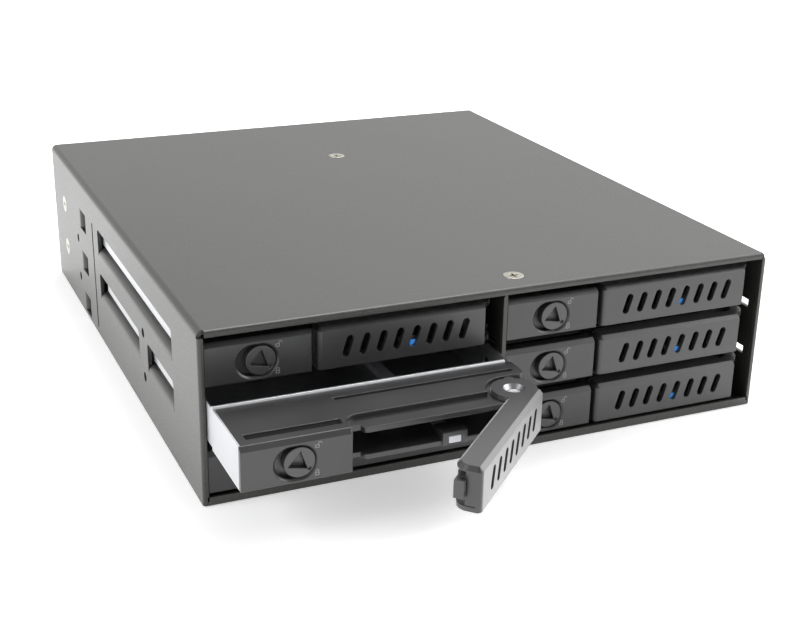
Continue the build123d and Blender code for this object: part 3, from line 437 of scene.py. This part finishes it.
for bay in bays:
    disc_low, disc_high = (np.array(corner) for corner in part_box(f"{bay}_lock_disc"))
    face_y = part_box(f"{bay}_front")[0][1]
    centre = (disc_low + disc_high) / 2
    for kind, offset in (("open", open_sign_offset), ("closed", closed_sign_offset)):
        pad, pad_faces = outline_points()
        shackle, shackle_faces = shackle_points(kind == "open")
        points = np.concatenate([pad, shackle]) + (centre[0] + offset[0], face_y, centre[2] + offset[1])
        faces = np.concatenate([pad_faces, shackle_faces + len(pad)])
        sign = mesh_object(f"{bay}_sign_{kind}", points, faces, sign_grey)
        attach(sign, f"{bay}_tray")

# Studio: white paper floor that runs on out of sight, soft boxes and a white surround.
# The floor is white to the camera and keeps the cage's soft shadow.
pure_white = (1, 1, 1, 1)
paper_white = (0.9, 0.9, 0.9, 1)
floor_half = 3.0
floor_drop = 0.0002
floor_glow = 0.5
camera_glow_share = 0.8
surround_light = 0.42
wall_top = (0.45, 0.75)
ceiling_shade = 0.18


def make_floor():
    """Flat sheet of paper just under the cage, with a glow for the camera and for reflections."""
    points = np.array([[-1, -1, 0], [1, -1, 0], [1, 1, 0], [-1, 1, 0]], dtype=float) * floor_half
    points[:, 2] = -floor_drop
    material, tree, shader = start_material("paper", Base_Color=paper_white, Roughness=0.9,
                                            Specular_IOR_Level=0.0)
    path = add_node(tree, "ShaderNodeLightPath")
    glow = add_node(tree, "ShaderNodeEmission", {"Color": pure_white, "Strength": floor_glow})
    quiet = add_node(tree, "ShaderNodeEmission", {"Color": pure_white, "Strength": 0.0})
    direct = add_node(tree, "ShaderNodeMath", {1: camera_glow_share}, operation="MULTIPLY")
    seen = add_node(tree, "ShaderNodeMath", operation="MAXIMUM")
    pick = add_node(tree, "ShaderNodeMixShader")
    total = add_node(tree, "ShaderNodeAddShader")
    link = tree.links.new
    link(path.outputs["Is Camera Ray"], direct.inputs[0])
    link(direct.outputs[0], seen.inputs[0])
    link(path.outputs["Is Glossy Ray"], seen.inputs[1])
    link(seen.outputs[0], pick.inputs[0])
    link(quiet.outputs[0], pick.inputs[1])
    link(glow.outputs[0], pick.inputs[2])
    link(shader.outputs[0], total.inputs[0])
    link(pick.outputs[0], total.inputs[1])
    link(total.outputs[0], tree.nodes["Material Output"].inputs["Surface"])
    floor = mesh_object("paper_floor", points, np.array([[0, 1, 2, 3]]), material)


make_floor()


def make_world():
    """White surround up to a low wall and a dim ceiling over it: white to the camera, seen as it is
    in reflections, and an even soft light for the rest."""
    world = bpy.data.worlds.new("studio_white")
    bpy.context.scene.world = world
    world.use_nodes = True
    tree = world.node_tree
    light = tree.nodes["Background"]
    light.inputs["Color"].default_value = pure_white
    light.inputs["Strength"].default_value = surround_light
    white = add_node(tree, "ShaderNodeBackground", {"Color": pure_white, "Strength": 1.0})
    mirrored = add_node(tree, "ShaderNodeBackground", {"Strength": 1.0})
    place = add_node(tree, "ShaderNodeTexCoord")
    parts = add_node(tree, "ShaderNodeSeparateXYZ")
    height = add_node(tree, "ShaderNodeMapRange", {"From Min": wall_top[0], "From Max": wall_top[1]},
                      interpolation_type="SMOOTHSTEP")
    height.inputs["To Min"].default_value = 1.0
    height.inputs["To Max"].default_value = ceiling_shade
    path = add_node(tree, "ShaderNodeLightPath")
    bounced = add_node(tree, "ShaderNodeMath", operation="MAXIMUM")
    soft = add_node(tree, "ShaderNodeMixShader")
    pick = add_node(tree, "ShaderNodeMixShader")
    link = tree.links.new
    link(place.outputs["Generated"], parts.inputs[0])
    link(parts.outputs["Z"], height.inputs["Value"])
    link(height.outputs[0], mirrored.inputs["Color"])
    link(path.outputs["Is Glossy Ray"], bounced.inputs[0])
    link(path.outputs["Is Transmission Ray"], bounced.inputs[1])
    link(bounced.outputs[0], soft.inputs[0])
    link(light.outputs[0], soft.inputs[1])
    link(mirrored.outputs[0], soft.inputs[2])
    link(path.outputs["Is Camera Ray"], pick.inputs[0])
    link(soft.outputs[0], pick.inputs[1])
    link(white.outputs[0], pick.inputs[2])
    link(pick.outputs[0], tree.nodes["World Output"].inputs["Surface"])


make_world()


def soft_box(name, place, target, size, watts):
    """Square area lamp at a place, turned to a target."""
    lamp = bpy.data.lights.new(name, "AREA")
    lamp.size = size
    lamp.energy = watts
    rig = bpy.data.objects.new(name, lamp)
    rig.location = place
    rig.rotation_euler = (Vector(target) - Vector(place)).to_track_quat("-Z", "Y").to_euler()
    bpy.context.scene.collection.objects.link(rig)


soft_box("overhead_box", place=(0.25, 0.3, 0.95), target=(0, 0, 0.02), size=0.5, watts=9.0)
soft_box("left_box", place=(-0.9, -0.1, 0.55), target=(0, 0, 0.02), size=0.6, watts=6.0)
soft_box("right_box", place=(0.85, -0.02, 0.5), target=(0, -0.02, 0.02), size=0.9, watts=8.0)
soft_box("corner_box", place=(0.75, -0.38, 0.93), target=(0, 0, 0.02), size=0.6, watts=1.9)

# Camera in front of the cage and to its left, a little above it, with a slight roll.
# Its place, its turn and its lens follow the photograph's view of the cage's corners.
camera_place = (-0.14113, -0.34080, 0.14986)
camera_heading = math.radians(-23.917)
camera_pitch = math.radians(90 - 21.695)
camera_roll = math.radians(1.053)
sensor_millimetres = 36
picture_pixels = 800
focal_pixels = 1367.5
camera_data = bpy.data.cameras.new("camera")
camera_data.sensor_fit = "HORIZONTAL"
camera_data.sensor_width = sensor_millimetres
camera_data.lens = focal_pixels / picture_pixels * sensor_millimetres
camera_data.clip_start = 0.01
camera = bpy.data.objects.new("camera", camera_data)
turn = Matrix.Rotation(camera_heading, 4, "Z") @ Matrix.Rotation(camera_pitch, 4, "X")
camera.matrix_world = Matrix.Translation(camera_place) @ turn @ Matrix.Rotation(camera_roll, 4, "Z")
bpy.context.scene.collection.objects.link(camera)
bpy.context.scene.camera = camera
bpy.context.scene.view_settings.view_transform = "Standard"
